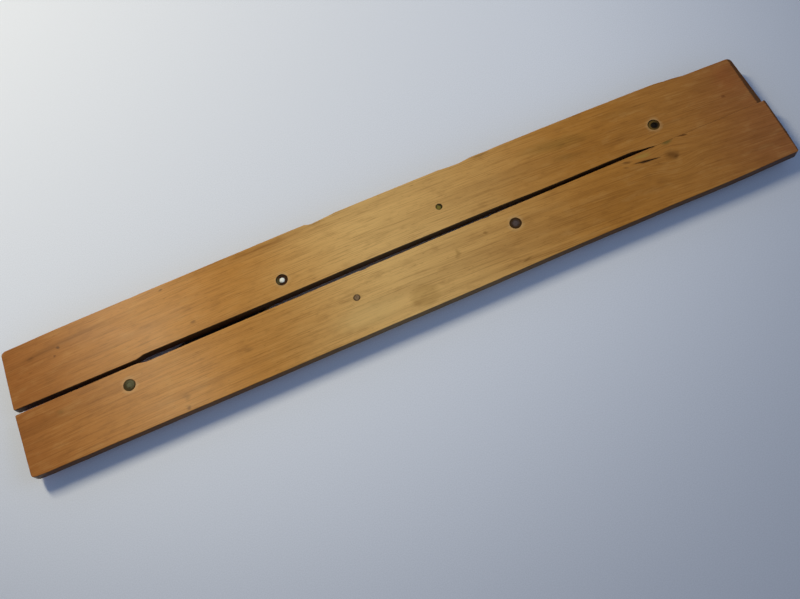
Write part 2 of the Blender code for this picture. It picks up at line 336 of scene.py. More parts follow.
upperMarks = (
    ((-185.0, 30.0), (26.0, 1.9), 3, 1.0, "#6b4018", 0.3),
    ((-206.0, 28.0), (16.0, 1.3), 1, 1.0, "#6b4018", 0.3),
    ((-196.3, 27.2), (1.2, 1.0), 0, 0.8, "#4f2f12", 0.7),
    ((-199.6, 23.0), (1.1, 0.8), 0, 0.8, "#5a2f12", 0.6),
    ((-213.9, 27.2), (2.8, 1.4), 0, 1.0, "#6b4018", 0.5),
    ((-132.7, 35.8), (1.2, 0.8), 0, 0.8, "#5d3715", 0.6),
    ((-121.7, 9.4), (2.2, 1.1), -10, 0.9, "#5d3715", 0.5),
    ((-68.0, 35.8), (22.0, 1.4), -1, 1.0, "#7d4c1f", 0.5),
    ((-36.0, 37.0), (7.0, 0.9), -3, 0.9, "#6b4418", 0.35),
    ((66.0, 36.4), (7.0, 0.9), -2, 0.9, "#5a3812", 0.45),
    ((108.0, 24.0), (26.0, 5.5), -8, 1.0, "#6b5a26", 0.28),
    ((110.0, 14.0), (10.0, 3.2), -12, 1.0, "#6a5426", 0.2),
    ((150.0, 27.0), (20.0, 4.0), -6, 1.0, "#6f5023", 0.15),
    ((209.5, 10.7), (1.8, 1.0), -8, 0.8, "#5f2f14", 0.5),
    ((216.0, 22.0), (9.0, 12.0), 0, 1.0, "#a04a24", 0.2),
    ((176.0, 10.0), (14.0, 1.2), -7, 1.0, "#b06c2a", 0.3),
)


def lengthTone(tree, point):
    parts = addNode(tree, "ShaderNodeSeparateXYZ", links={0: point})
    wander = stretchedNoise(tree, point, woodGrain["cloud"], 2.0)
    along = combine(tree, "MULTIPLY_ADD", wander, 0.03)
    along.node.inputs[2].default_value = -0.015
    place = combine(tree, "ADD", parts.outputs[0], along)
    stops = woodTone["along"]
    share = fade(tree, place, stops[0][0], stops[-1][0])
    share.node.interpolation_type = "LINEAR"
    ramp = addNode(tree, "ShaderNodeValToRGB", links={0: share})
    ramp.color_ramp.interpolation = "CARDINAL"
    span = stops[-1][0] - stops[0][0]
    elements = ramp.color_ramp.elements
    elements[0].color = hexColour(stops[0][1])
    elements[1].color = hexColour(stops[-1][1])
    for where, tone in stops[1:-1]:
        elements.new((where - stops[0][0]) / span).color = hexColour(tone)
    return ramp.outputs[0]


def spotMask(tree, point, mark):
    # 1 inside an ellipse on the board, fading to 0 at its rim
    width, height = mark["size"]
    centre = (mark["at"][0] * mm, mark["at"][1] * mm, backFace)
    placed = addNode(tree, "ShaderNodeMapping", {"vector_type": "TEXTURE"}, {
        "Vector": point, "Location": centre, "Rotation": (0.0, 0.0, math.radians(mark["turn"])),
        "Scale": (width * mm, height * mm, 3.0 * mm)})
    away = addNode(tree, "ShaderNodeVectorMath", {"operation": "LENGTH"}, {0: placed.outputs[0]})
    return fade(tree, away.outputs["Value"], 1.15, 1.15 - mark["soft"] - 0.1)


def bentRoundKnot(tree, point, knot):
    # the fibres part round a knot, so the pattern is pushed outwards near it
    centre = (knot["at"][0] * mm, knot["at"][1] * mm, backFace)
    away = addNode(tree, "ShaderNodeVectorMath", {"operation": "SUBTRACT"}, {0: point, 1: centre})
    size = addNode(tree, "ShaderNodeVectorMath", {"operation": "LENGTH"}, {0: away.outputs[0]})
    near = fade(tree, size.outputs["Value"], knot["reach"] * mm, 0.0)
    push = combine(tree, "MULTIPLY", near, -knot["push"])
    squeezed = addNode(tree, "ShaderNodeVectorMath", {"operation": "MULTIPLY"}, {
        0: away.outputs[0], 1: (0.35, 1.0, 0.0)})
    moved = addNode(tree, "ShaderNodeVectorMath", {"operation": "SCALE"}, {
        0: squeezed.outputs[0], "Scale": push})
    return addNode(tree, "ShaderNodeVectorMath", {"operation": "ADD"}, {
        0: point, 1: moved.outputs[0]}).outputs[0]


def boxwood(name, marks, rivets, shift, rimFrom):
    # boxwood, planed and varnished long ago: close, even, honey to orange brown, satin
    material, tree, shader = newMaterial(name)
    point = objectPoint(tree)
    parts = addNode(tree, "ShaderNodeSeparateXYZ", links={0: point})
    steeper = combine(tree, "MULTIPLY", parts.outputs[0], woodGrain["bend"])
    sink = combine(tree, "MULTIPLY", combine(tree, "ADD", steeper, woodGrain["slope"]), parts.outputs[0])
    sunk = addNode(tree, "ShaderNodeCombineXYZ", links={1: sink})
    straight = addNode(tree, "ShaderNodeVectorMath", {"operation": "ADD"}, {
        0: bentRoundKnot(tree, point, knot), 1: sunk.outputs[0]})
    fibres = straight.outputs[0]
    patterns = {kind: stretchedNoise(tree, fibres, woodGrain[kind], detail, shift=shift)
                for kind, detail in grainDetail.items()}
    fine, pores = patterns["fine"], patterns["pore"]
    colour = lengthTone(tree, point)
    for kind, start, full, share, tone in grainLayers:
        layer = fade(tree, patterns[kind], start, full, 0.0, share)
        colour = mixColours(tree, layer, colour, hexColour(woodTone[tone]))
    stretched = addNode(tree, "ShaderNodeVectorMath", {"operation": "MULTIPLY"}, {
        0: point, 1: woodFinish["frayScale"]})
    wobble = addNode(tree, "ShaderNodeTexNoise", links={
        "Vector": stretched.outputs[0], "Scale": 1.0, "Detail": 2.0})
    loose = addNode(tree, "ShaderNodeVectorMath", {"operation": "SUBTRACT"}, {
        0: wobble.outputs["Color"], 1: (0.5, 0.5, 0.5)})
    jitter = addNode(tree, "ShaderNodeVectorMath", {"operation": "MULTIPLY"}, {
        0: loose.outputs[0], 1: woodFinish["fray"]})
    frayed = addNode(tree, "ShaderNodeVectorMath", {"operation": "ADD"}, {
        0: point, 1: jitter.outputs[0]}).outputs[0]
    for row in marks:
        mark = dict(zip(markColumns, row))
        amount = combine(tree, "MULTIPLY", spotMask(tree, frayed, mark), mark["amount"])
        colour = mixColours(tree, amount, colour, hexColour(mark["tone"]))
    for rivet in rivets:
        halo = {"at": (rivet.x / mm, rivet.y / mm), "size": (woodFinish["haloSize"],) * 2,
                "turn": 0, "soft": 0.45}
        amount = combine(tree, "MULTIPLY", spotMask(tree, frayed, halo), woodFinish["halo"])
        colour = mixColours(tree, amount, colour, hexColour(woodTone["halo"]))
    normal = addNode(tree, "ShaderNodeNewGeometry").outputs["Normal"]
    facing = addNode(tree, "ShaderNodeSeparateXYZ", links={0: normal})
    endShare = combine(tree, "ABSOLUTE", facing.outputs[0])
    sideShare = combine(tree, "ABSOLUTE", facing.outputs[1])
    # painted shade: the side walls facing across the rule are darkened nearly to black, for their dirt and
    # for the shade they stand in
    colour = mixColours(tree, fade(tree, sideShare, 0.6, 0.95, 0.0, woodFinish["sideDirt"]), colour,
                        hexColour(woodTone["edgeDirt"]))
    colour = mixColours(tree, fade(tree, endShare, 0.35, 0.9, 0.0, woodFinish["endDirt"]), colour,
                        hexColour(woodTone["endGrain"]))
    # painted shade: a dark band on the back along the right end of each board
    rim = fade(tree, combine(tree, "ADD", parts.outputs[0], combine(tree, "MULTIPLY", pores, 1.2 * mm)),
               rimFrom, rimFrom + woodFinish["rimWidth"], 0.0, woodFinish["rimDirt"])
    colour = mixColours(tree, rim, colour, hexColour(woodTone["endRim"]))
    # painted shade: surfaces sunk below the back, in splits and rivet holes, are darkened towards near
    # black
    across = combine(tree, "ABSOLUTE", parts.outputs[1])
    inside = combine(tree, "MULTIPLY", fade(tree, across, 4 * mm, 6 * mm),
                     fade(tree, across, 30 * mm, 28 * mm))
    notUnder = fade(tree, facing.outputs[2], -0.7, -0.3)
    deep = fade(tree, parts.outputs[2], backFace - 0.12 * mm, backFace - 0.5 * mm, 0.0,
                woodFinish["hollow"])
    hollow = combine(tree, "MULTIPLY", combine(tree, "MULTIPLY", inside, notUnder), deep)
    colour = mixColours(tree, hollow, colour, hexColour(woodTone["hollow"]))
    tree.links.new(colour, shader.inputs["Base Color"])
    rough = fade(tree, stretchedNoise(tree, point, woodGrain["cloud"], 3.0), 0.3, 0.7,
                 *woodFinish["roughness"])
    tree.links.new(rough, shader.inputs["Roughness"])
    shader.inputs["Specular IOR Level"].default_value = woodFinish["specular"]
    shader.inputs["Anisotropic"].default_value = woodFinish["anisotropic"]
    sideways = addNode(tree, "ShaderNodeVectorTransform", {
        "vector_type": "VECTOR", "convert_from": "OBJECT", "convert_to": "WORLD"}, {0: (0.0, 1.0, 0.0)})
    tree.links.new(sideways.outputs[0], shader.inputs["Tangent"])
    height = combine(tree, "ADD", fine, combine(tree, "MULTIPLY", pores, 0.5))
    bump = addNode(tree, "ShaderNodeBump", links={
        "Strength": woodFinish["bump"], "Distance": woodFinish["bumpHeight"], "Height": height})
    tree.links.new(bump.outputs[0], shader.inputs["Normal"])
    return material


knot = {"at": (164.6, -11.0), "reach": 20.0, "push": 0.55}
lowerRivets = [pivots["lower_left"], pivots["lower_right"]]
upperRivets = [pivots["upper_left"], pivots["upper_right"]]
rightEnd = {side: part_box(side + "_board")[1].x for side in ("lower", "upper")}
lowerWood = boxwood("varnishedBoxwoodLower", lowerMarks, lowerRivets, (0.0, 0.0, 0.0),
                    rightEnd["lower"] - 0.8 * mm)
upperWood = boxwood("varnishedBoxwoodUpper", upperMarks, upperRivets, (0.31, 0.07, 0.11),
                    rightEnd["upper"] - 2.6 * mm)
print("boxwood materials made")

# ---- brass


def agedBrass(name, clean, tarnish, share, roughness=0.38, patch=2.5 * mm, seed=(0.0, 0.0, 0.0),
              dust=None):
    # lacquer-free brass sheet, rolled and hand finished: dull gold with brown tarnish in patches
    material, tree, shader = newMaterial(name)
    point = objectPoint(tree)
    cloud = stretchedNoise(tree, point, (patch,) * 3, 4.0, shift=seed, roughness=0.65)
    fleck = stretchedNoise(tree, point, (patch * 0.18,) * 3, 2.0, shift=seed)
    worn = combine(tree, "ADD", cloud, combine(tree, "MULTIPLY", fleck, 0.3))
    stained = fade(tree, worn, 0.95 - share * 0.6, 1.05 - share * 0.6 + 0.12)
    shade = fade(tree, worn, 0.85 - share * 0.5, 0.55 - share * 0.2)
    colour = mixColours(tree, stained, hexColour(clean), hexColour(tarnish))
    colour = mixColours(tree, combine(tree, "MULTIPLY", shade, 0.35), colour, hexColour(tarnish))
    rough = fade(tree, worn, 0.4, 0.9, roughness - 0.08, roughness + 0.2)
    shader.inputs["Metallic"].default_value = 1.0
    if dust:
        # the face under the boards is never wiped and lies in shade, so it is painted dark and matt: packed
        # dirt plus painted shade
        normal = addNode(tree, "ShaderNodeNewGeometry").outputs["Normal"]
        facing = addNode(tree, "ShaderNodeSeparateXYZ", links={0: normal})
        dustAndShadeShare = fade(tree, facing.outputs[2], 0.3, 0.8)
        colour = mixColours(tree, dustAndShadeShare, colour, hexColour(dust))
        tree.links.new(combine(tree, "SUBTRACT", 1.0, dustAndShadeShare), shader.inputs["Metallic"])
        rough = combine(tree, "MAXIMUM", rough, dustAndShadeShare)
    tree.links.new(colour, shader.inputs["Base Color"])
    tree.links.new(rough, shader.inputs["Roughness"])
    bump = addNode(tree, "ShaderNodeBump", links={
        "Strength": 0.3, "Distance": 0.03 * mm, "Height": fleck})
    tree.links.new(bump.outputs[0], shader.inputs["Normal"])
    return material


def oxidisedMetal(name, rim, middle, centre, reach, aside=(0.0, 0.0), metal=0.25):
    # soft metal filed flush and left to oxidise: dull, dark at the rim and lighter in the middle; the upper
    # left burr and rivet end also carry painted shade and a painted highlight
    material, tree, shader = newMaterial(name)
    point = objectPoint(tree)
    flat = addNode(tree, "ShaderNodeVectorMath", {"operation": "MULTIPLY"}, {
        0: point, 1: (1.0, 1.0, 0.0)})
    away = addNode(tree, "ShaderNodeVectorMath", {"operation": "DISTANCE"}, {
        0: flat.outputs[0], 1: (centre.x + aside[0] * mm, centre.y + aside[1] * mm, 0.0)})
    blotch = stretchedNoise(tree, point, (1.3 * mm,) * 3, 3.0)
    wide = combine(tree, "ADD", away.outputs["Value"], combine(tree, "MULTIPLY", blotch, 1.6 * mm))
    share = fade(tree, wide, reach * 0.45 + 0.8 * mm, reach * 1.0 + 0.8 * mm)
    colour = mixColours(tree, share, hexColour(middle), hexColour(rim))
    colour = mixColours(tree, fade(tree, blotch, 0.5, 0.8, 0.0, 0.4), colour, hexColour("#20201a"))
    tree.links.new(colour, shader.inputs["Base Color"])
    shader.inputs["Metallic"].default_value = metal
    shader.inputs["Roughness"].default_value = 0.7
    shader.inputs["Specular IOR Level"].default_value = 0.15
    scratch = stretchedNoise(tree, point, (0.18 * mm, 1.6 * mm, 1.0 * mm), 2.0, 35.0)
    bump = addNode(tree, "ShaderNodeBump", links={
        "Strength": 0.4, "Distance": 0.04 * mm, "Height": scratch})
    tree.links.new(bump.outputs[0], shader.inputs["Normal"])
    return material


linkBrass = agedBrass("rolledBrassStrip", "#b8934a", "#5f4420", 0.35, dust="#1c130b")
turnedBrass = agedBrass("turnedBrass", "#c09a4e", "#5a4020", 0.3, 0.32, 1.5 * mm, (0.2, 0.1, 0.3))
tailMetal = {
    "lower_left": oxidisedMetal("oxidisedRivetGreen", "#453719", "#666143",
                                pivots["lower_left"], 2.9 * mm, (0.5, 0.5)),
    "lower_right": oxidisedMetal("oxidisedRivetViolet", "#432a0c", "#5e4e48",
                                 pivots["lower_right"], 2.6 * mm),
    # grime plus painted shade: the sunk upper left burr is painted near black, as if deep in shade
    "upper_left": oxidisedMetal("sunkBurrBlack", "#3a1f06", "#54492a",
                                pivots["upper_left"], 2.6 * mm, (-2.6, 0.0)),
    "upper_right": oxidisedMetal("sunkBurrOlive", "#70531f", "#1c1206",
                                 pivots["upper_right"], 3.0 * mm, (0.8, -0.3)),
}
rivetMetal = {
    "lower_left": tailMetal["lower_left"],
    "lower_right": tailMetal["lower_right"],
    # pale metal plus a painted highlight: the upper left rivet end is painted near white for its glint
    "upper_left": oxidisedMetal("paleRivetPaintedGlint", "#8f8468", "#fbf6e4",
                                pivots["upper_left"], 2.3 * mm, (0.3, 0.1), 0.1),
    "upper_right": oxidisedMetal("sunkRivetBlack", "#1c1206", "#1c1206", pivots["upper_right"], 1.8 * mm),
}
knobTailMetal = {
    "lower": oxidisedMetal("oxidisedRivetBrown", "#5f4528", "#8f7252", knobs["lower"], 2.0 * mm),
    "upper": oxidisedMetal("oxidisedRivetDarkOlive", "#382c0c", "#80702c", knobs["upper"], 1.8 * mm,
                           (-0.5, -0.4)),
}
print("metal materials made")

# ---- boards

boardWear = {
    "spacing": 0.8 * mm,  # between points along the outline
    "roundest": 0.45 * mm,  # arris where hands have worn it
    "sharpest": 0.12 * mm,
    "roundSteps": 5,
    "waviness": 0.10 * mm,  # how far the edge wanders inwards
    "grow": 0.12 * mm,  # and outwards, to keep the mean width
    "leftGrow": 0.20 * mm,  # more at the left ends
    "tightFrom": 0.1588,  # beyond here the inner edges touch
    "tightGrow": 0.125 * mm,
    "tightArris": 0.06 * mm,
}

upperChips = (
    # where a splinter has left the outer edge: place along X, depth, reach to the left and right
    {"at": -39.5, "depth": 1.15, "left": 3.5, "right": 15.0},
    {"at": 53.0, "depth": 0.85, "left": 12.0, "right": 7.0},
    {"at": 71.4, "depth": 0.20, "left": 5.0, "right": 4.0},
    {"at": 184.0, "depth": 0.25, "left": 6.0, "right": 2.0},
    {"at": -150.0, "depth": 0.20, "left": 4.0, "right": 5.0},
)
lowerChips = (
    {"at": -226.0, "depth": 0.30, "left": 2.0, "right": 5.0},
)
innerChips = {
    "lower": (
        {"at": -22.0, "depth": 0.45, "left": 3.0, "right": 3.5},
        {"at": 53.5, "depth": 0.40, "left": 2.5, "right": 3.0},
    ),
}
edgeSwells = {
    # gentle bows of the outer edges: place along X, rise, reach either side
    "lower": ((187.0, 0.45, 40.0), (88.0, -0.30, 62.0), (-100.0, 0.12, 60.0)),
    "upper": ((95.0, 0.15, 60.0), (-150.0, 0.10, 30.0)),
}


def cadOutline(node):
    # the ring of CAD points at the top of the board's side wall, in order
    level = backFace - boardArris
    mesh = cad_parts[node].data
    joined = {}
    for polygon in mesh.polygons:
        corners = [mesh.vertices[index].co for index in polygon.vertices]
        ring = [(round(co.x, 6), round(co.y, 6)) for co in corners if abs(co.z - level) < 0.01 * mm]
        for first in ring:
            for second in ring:
                if first != second:
                    joined.setdefault(first, set()).add(second)
    start = min(joined)
    path = [start]
    previous = None
    while True:
        options = [other for other in joined[path[-1]] if other != previous]
        previous = path[-1]
        path.append(min(options) if len(path) == 1 else options[0])
        if path[-1] == start:
            return [Vector(point) for point in path[:-1]]


def resample(points, spacing):
    result = []
    for index, point in enumerate(points):
        after = points[(index + 1) % len(points)]
        count = max(1, round((after - point).length / spacing))
        for step in range(count):
            result.append(point.lerp(after, step / count))
    area = sum(a.x * b.y - b.x * a.y for a, b in zip(result, result[1:] + result[:1]))
    return result if area > 0 else result[::-1]  # counterclockwise


def chipDepth(x, chips):
    depth = 0.0
    for chip in chips:
        offset = x / mm - chip["at"]
        reach = chip["left"] if offset < 0 else chip["right"]
        if abs(offset) < reach:
            depth = max(depth, chip["depth"] * mm * (1 - abs(offset) / reach) ** 0.7)
    return depth


def swell(x, side):
    rise = 0.0
    for at, height, reach in edgeSwells[side]:
        offset = abs(x / mm - at) / reach
        if offset < 1:
            rise += height * mm * (0.5 + 0.5 * math.cos(math.pi * offset))
    return rise


def wornOutline(node, side, chips):
    outline = resample(cadOutline(node), boardWear["spacing"])
    count = len(outline)
    worn = []
    arrises = []
    outward = -1 if side == "lower" else 1
    for index, point in enumerate(outline):
        ahead = outline[(index + 1) % count] - outline[index - 1]
        normal = Vector((ahead.y, -ahead.x)).normalized()
        seat = Vector((point.x * 60, point.y * 60, 3.0 * outward))
        wander = noise.noise(seat) * 0.6 + noise.noise(seat * 5) * 0.3 + noise.noise(seat * 17) * 0.1
        inward = boardWear["waviness"] * (0.5 + wander * 0.5) - boardWear["grow"]
        outerEdge = normal.y * outward > 0.7
        innerEdge = normal.y * outward < -0.7
        if normal.x < -0.7:
            inward -= boardWear["leftGrow"]
        if outerEdge:
            inward += chipDepth(point.x, chips) - swell(point.x, side)
        rounding = noise.noise(seat * 2.3 + Vector((0, 0, 9))) * 0.5 + 0.5
        arris = boardWear["sharpest"] + (boardWear["roundest"] - boardWear["sharpest"]) * rounding
        if innerEdge:
            arris = min(arris, 0.22 * mm)
            if point.x > boardWear["tightFrom"]:
                inward = -boardWear["tightGrow"]
                arris = boardWear["tightArris"]
            else:
                inward = boardWear["waviness"] * wander * 0.5 + chipDepth(point.x, innerChips.get(side, ()))
        worn.append(point - normal * inward)
        arrises.append(arris)
    return worn, arrises


def smoothed(values):
    count = len(values)
    return [(values[i - 1] + values[i] * 2 + values[(i + 1) % count]) / 4 for i in range(count)]


def boardMesh(name, outline, arrises):
    # rings of points run from the middle of the ruled face round the arris to the back
    bm = bmesh.new()
    steps = boardWear["roundSteps"]
    count = len(outline)
    normals = []
    for index in range(count):
        ahead = outline[(index + 1) % count] - outline[index - 1]
        normals.append(Vector((ahead.y, -ahead.x)).normalized())
    levels = []
    for face, direction in ((ruledFace, 1), (backFace, -1)):
        turns = [math.pi / 2 * step / steps for step in range(steps + 1)]
        rings = [(face, direction, turn) for turn in turns]
        rings.insert(0, (face, direction, None))  # keeps the flat face flat
        levels += rings if direction > 0 else rings[::-1]
    grid = []
    for face, direction, turn in levels:
        ring = []
        for point, normal, arris in zip(outline, normals, arrises):
            inset = arris * 1.5 if turn is None else arris * (1 - math.sin(turn))
            rise = 0.0 if turn is None else arris * (1 - math.cos(turn))
            place = point - normal * inset
            ring.append(bm.verts.new((place.x, place.y, face + direction * rise)))
        grid.append(ring)
    for lower, upper in zip(grid, grid[1:]):
        for index in range(count):
            after = (index + 1) % count
            bm.faces.new((lower[index], lower[after], upper[after], upper[index]))
    bm.faces.new(grid[-1])
    bm.faces.new(grid[0][::-1])
    bmesh.ops.triangulate(bm, faces=[face for face in bm.faces if len(face.verts) > 4])
    return meshObject(name, bm)


def turnedCutter(profile, place, steps=96):
    # profile of (radius, height) from top to bottom, turned about a vertical axis at place
    bm = bmesh.new()
    rings = []
    for radius, height in profile:
        ring = []
        for step in range(steps):
            angle = 2 * math.pi * step / steps
            ring.append(bm.verts.new((place.x + radius * math.cos(angle),
                                      place.y + radius * math.sin(angle), height)))
        rings.append(ring)
    for upper, lower in zip(rings, rings[1:]):
        for index in range(steps):
            after = (index + 1) % steps
            bm.faces.new((upper[after], upper[index], lower[index], lower[after]))
    bm.faces.new(rings[0])
    bm.faces.new(rings[-1][::-1])
    return meshObject("cutter", bm)


def crackCutter(start, end, width, depth, seed):
    # a lens-shaped split that wanders along its length and closes at depth
    bm = bmesh.new()
    steps = 48
    along = end - start
    across = Vector((-along.y, along.x)).normalized()
    left, right, floor = [], [], []
    for step in range(steps + 1):
        share = step / steps
        halfOpen = max(0.02 * mm, width / 2 * math.sin(math.pi * share ** 0.65) ** 0.7)
        drift = noise.noise(Vector((share * 4, seed, 0.0))) * 0.2 * mm
        ragged = 1 + 0.25 * noise.noise(Vector((share * 5, seed, 2.0)))
        middle = start + along * share + across * drift
        top = backFace + 0.3 * mm
        left.append(bm.verts.new((*(middle + across * halfOpen * ragged), top)))
        right.append(bm.verts.new((*(middle - across * halfOpen * ragged), top)))
        low = backFace - depth * max(0.1, math.sin(math.pi * share) ** 0.5)
        floor.append(bm.verts.new((*middle, low)))
    for i in range(steps):
        bm.faces.new((left[i], left[i + 1], right[i + 1], right[i]))
        bm.faces.new((left[i + 1], left[i], floor[i], floor[i + 1]))
        bm.faces.new((right[i], right[i + 1], floor[i + 1], floor[i]))
    bm.faces.new((left[0], right[0], floor[0]))
    bm.faces.new((right[-1], left[-1], floor[-1]))
    bmesh.ops.recalc_face_normals(bm, faces=bm.faces)
    return meshObject("crack", bm)


def applyCuts(board, cutters):
    for cutter in cutters:
        cut = board.modifiers.new("cut", "BOOLEAN")
        cut.operation = "DIFFERENCE"
        cut.solver = "EXACT"
        cut.object = cutter
    bpy.context.view_layer.update()
    evaluated = board.evaluated_get(bpy.context.evaluated_depsgraph_get())
    mesh = bpy.data.meshes.new_from_object(evaluated)
    board.modifiers.clear()
    board.data = mesh
    for cutter in cutters:
        bpy.data.objects.remove(cutter, do_unlink=True)
    mesh.shade_smooth()
    mesh.set_sharp_from_angle(angle=math.radians(32))


rivetHole = {
    "recess": 3.42 * mm,
    "bore": 1.7 * mm,
    "floor": 1.15 * mm,  # below the closed rivet end
    "chamfer": 0.14 * mm,
    "sunk": {"lower_left": 0.0, "lower_right": 0.0, "upper_left": 0.5 * mm, "upper_right": 0.6 * mm},
}
knobHole = {"recess": 1.95 * mm, "bore": 1.4 * mm, "floor": 1.25 * mm, "chamfer": 0.12 * mm}


def holeCutter(hole, place, sunk=0.0):
    above = backFace + 0.5 * mm
    floor = backFace - sunk - hole["floor"]
    chamfer = hole["chamfer"]
    return turnedCutter((
        (hole["recess"] + chamfer + 0.5 * mm, above),
        (hole["recess"] + chamfer, backFace),
        (hole["recess"], backFace - chamfer),
        (hole["recess"], floor),
        (hole["bore"], floor),
        (hole["bore"], ruledFace - 0.5 * mm),
    ), place)


def makeBoard(side, chips, wood, splits):
    node = side + "_board"
    outline, arrises = wornOutline(node, side, chips)
    for _ in range(2):
        arrises = smoothed(arrises)
    board = boardMesh(side + "Board", outline, arrises)
    cutters = [holeCutter(knobHole, knobs[side])]
    for name, place in pivots.items():
        if name.startswith(side):
            cutters.append(holeCutter(rivetHole, place, rivetHole["sunk"][name]))
    for index, split in enumerate(splits):
        start = Vector(split["start"]) * mm
        end = Vector(split["end"]) * mm
        cutters.append(crackCutter(start, end, split["width"] * mm, split["depth"] * mm, index))
    applyCuts(board, cutters)
    board.data.materials.clear()
    board.data.materials.append(wood)
    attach(board, node)
    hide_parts(node)
    return board


lowerSplits = (
    {"start": (142.9, -7.1), "end": (158.9, -9.7), "width": 1.5, "depth": 0.45},
)

lowerBoard = makeBoard("lower", lowerChips, lowerWood, lowerSplits)
upperBoard = makeBoard("upper", upperChips, upperWood, ())
print("boards made")

# ---- turned metal: rivets, burrs, washers and knobs

turnedSetup = {
    "steps": 72,
    "merge": 0.002 * mm,
    "creaseAngle": 35.0,
}

stack = {
    # heights of the metal under the boards: each piece almost touches the next one
    "headTop": 1.50 * mm,
    "rosette": (1.55 * mm, 2.25 * mm),
    "link": (2.30 * mm, 3.90 * mm),
    "spacer": (3.95 * mm, 4.95 * mm),
    "knobTop": 4.15 * mm,
    "knobRosette": (4.20 * mm, 4.95 * mm),
}

shank = 1.4 * mm
burrRadius = 3.33 * mm


def groupTree(name, inputs):
    tree = bpy.data.node_groups.new(name, "GeometryNodeTree")
    tree.interface.new_socket("Geometry", in_out="INPUT", socket_type="NodeSocketGeometry")
    for label, kind in inputs:
        tree.interface.new_socket(label, in_out="INPUT", socket_type=kind)
    tree.interface.new_socket("Geometry", in_out="OUTPUT", socket_type="NodeSocketGeometry")
    return tree, addNode(tree, "NodeGroupInput").outputs


def closeTree(tree, geometry, material):
    real = addNode(tree, "GeometryNodeRealizeInstances", links={0: geometry})
    painted = addNode(tree, "GeometryNodeSetMaterial", links={
        "Geometry": real.outputs[0], "Material": material})
    addNode(tree, "NodeGroupOutput", links={0: painted.outputs[0]})


def makeTurningTree():
    # bends a grid into a turned shape: rows follow the profile, columns go round the axis
    tree, given = groupTree("turnProfile", (
        ("Points", "NodeSocketInt"), ("Steps", "NodeSocketInt"), ("Place", "NodeSocketVector"),
        ("Flutes", "NodeSocketFloat"), ("Flute Depth", "NodeSocketFloat"),
        ("Flutes From", "NodeSocketFloat"), ("Unevenness", "NodeSocketFloat"),
        ("Seed", "NodeSocketFloat"), ("Merge", "NodeSocketFloat"),
        ("Material", "NodeSocketMaterial")))
    columns = combine(tree, "ADD", given["Steps"], 1.0)
    grid = addNode(tree, "GeometryNodeMeshGrid", links={
        "Size X": 1.0, "Size Y": 1.0, "Vertices X": columns, "Vertices Y": given["Points"]})
    here = addNode(tree, "ShaderNodeSeparateXYZ", links={
        0: addNode(tree, "GeometryNodeInputPosition").outputs[0]})
    turn = combine(tree, "MULTIPLY", combine(tree, "ADD", here.outputs[0], 0.5), 2 * math.pi)
    rows = combine(tree, "SUBTRACT", given["Points"], 1.0)
    row = combine(tree, "MULTIPLY", combine(tree, "ADD", here.outputs[1], 0.5), rows)
    whole = addNode(tree, "FunctionNodeFloatToInt", {"rounding_mode": "ROUND"}, {0: row})
    sample = addNode(tree, "GeometryNodeSampleIndex", {"data_type": "FLOAT_VECTOR"}, {
        "Geometry": given["Geometry"], "Value": addNode(tree, "GeometryNodeInputPosition").outputs[0],
        "Index": whole.outputs[0]})
    profile = addNode(tree, "ShaderNodeSeparateXYZ", links={0: sample.outputs[0]})
    radius, height = profile.outputs[0], profile.outputs[2]
    wave = combine(tree, "COSINE", combine(tree, "MULTIPLY", turn, given["Flutes"]))
    cut = combine(tree, "MULTIPLY", combine(tree, "MULTIPLY", wave, -0.5), given["Flute Depth"])
    cut = combine(tree, "SUBTRACT", cut, combine(tree, "MULTIPLY", given["Flute Depth"], 0.5))
    outside = combine(tree, "GREATER_THAN", radius, given["Flutes From"])
    radius = combine(tree, "ADD", radius, combine(tree, "MULTIPLY", cut, outside))
    across = combine(tree, "MULTIPLY", radius, combine(tree, "COSINE", turn))
    back = combine(tree, "MULTIPLY", radius, combine(tree, "SINE", turn))
    ringPoint = addNode(tree, "ShaderNodeCombineXYZ", links={0: across, 1: back, 2: height})
    soft = addNode(tree, "ShaderNodeTexNoise", {"noise_dimensions": "4D"}, {
        "Vector": ringPoint.outputs[0], "W": given["Seed"], "Scale": 700.0, "Detail": 1.0})
    drift = addNode(tree, "ShaderNodeVectorMath", {"operation": "SUBTRACT"}, {
        0: soft.outputs["Color"], 1: (0.5, 0.5, 0.5)})
    drift = addNode(tree, "ShaderNodeVectorMath", {"operation": "SCALE"}, {
        0: drift.outputs[0], "Scale": given["Unevenness"]})
    shaped = addNode(tree, "ShaderNodeVectorMath", {"operation": "ADD"}, {
        0: ringPoint.outputs[0], 1: drift.outputs[0]})
    placed = addNode(tree, "ShaderNodeVectorMath", {"operation": "ADD"}, {
        0: shaped.outputs[0], 1: given["Place"]})
    bent = addNode(tree, "GeometryNodeSetPosition", links={
        "Geometry": grid.outputs[0], "Position": placed.outputs[0]})
    closed = addNode(tree, "GeometryNodeMergeByDistance", links={
        "Geometry": bent.outputs[0], "Distance": given["Merge"]})
    closeTree(tree, closed.outputs[0], given["Material"])
    return tree


def softened(points, radius, steps=4, closed=False):
    # rounds every corner of a profile, as a file or years of handling do
    result = []
    count = len(points)
    for index, corner in enumerate(points):
        corner = Vector(corner)
        if not closed and index in (0, count - 1):
            result.append(corner)
            continue
        before = Vector(points[index - 1]) - corner
        after = Vector(points[(index + 1) % count]) - corner
        reach = min(radius, before.length * 0.45, after.length * 0.45)
        first = corner + before.normalized() * reach
        last = corner + after.normalized() * reach
        for step in range(steps + 1):
            share = step / steps
            result.append(first.lerp(corner, share).lerp(corner.lerp(last, share), share))
    if closed:
        result.append(result[0])
    return result


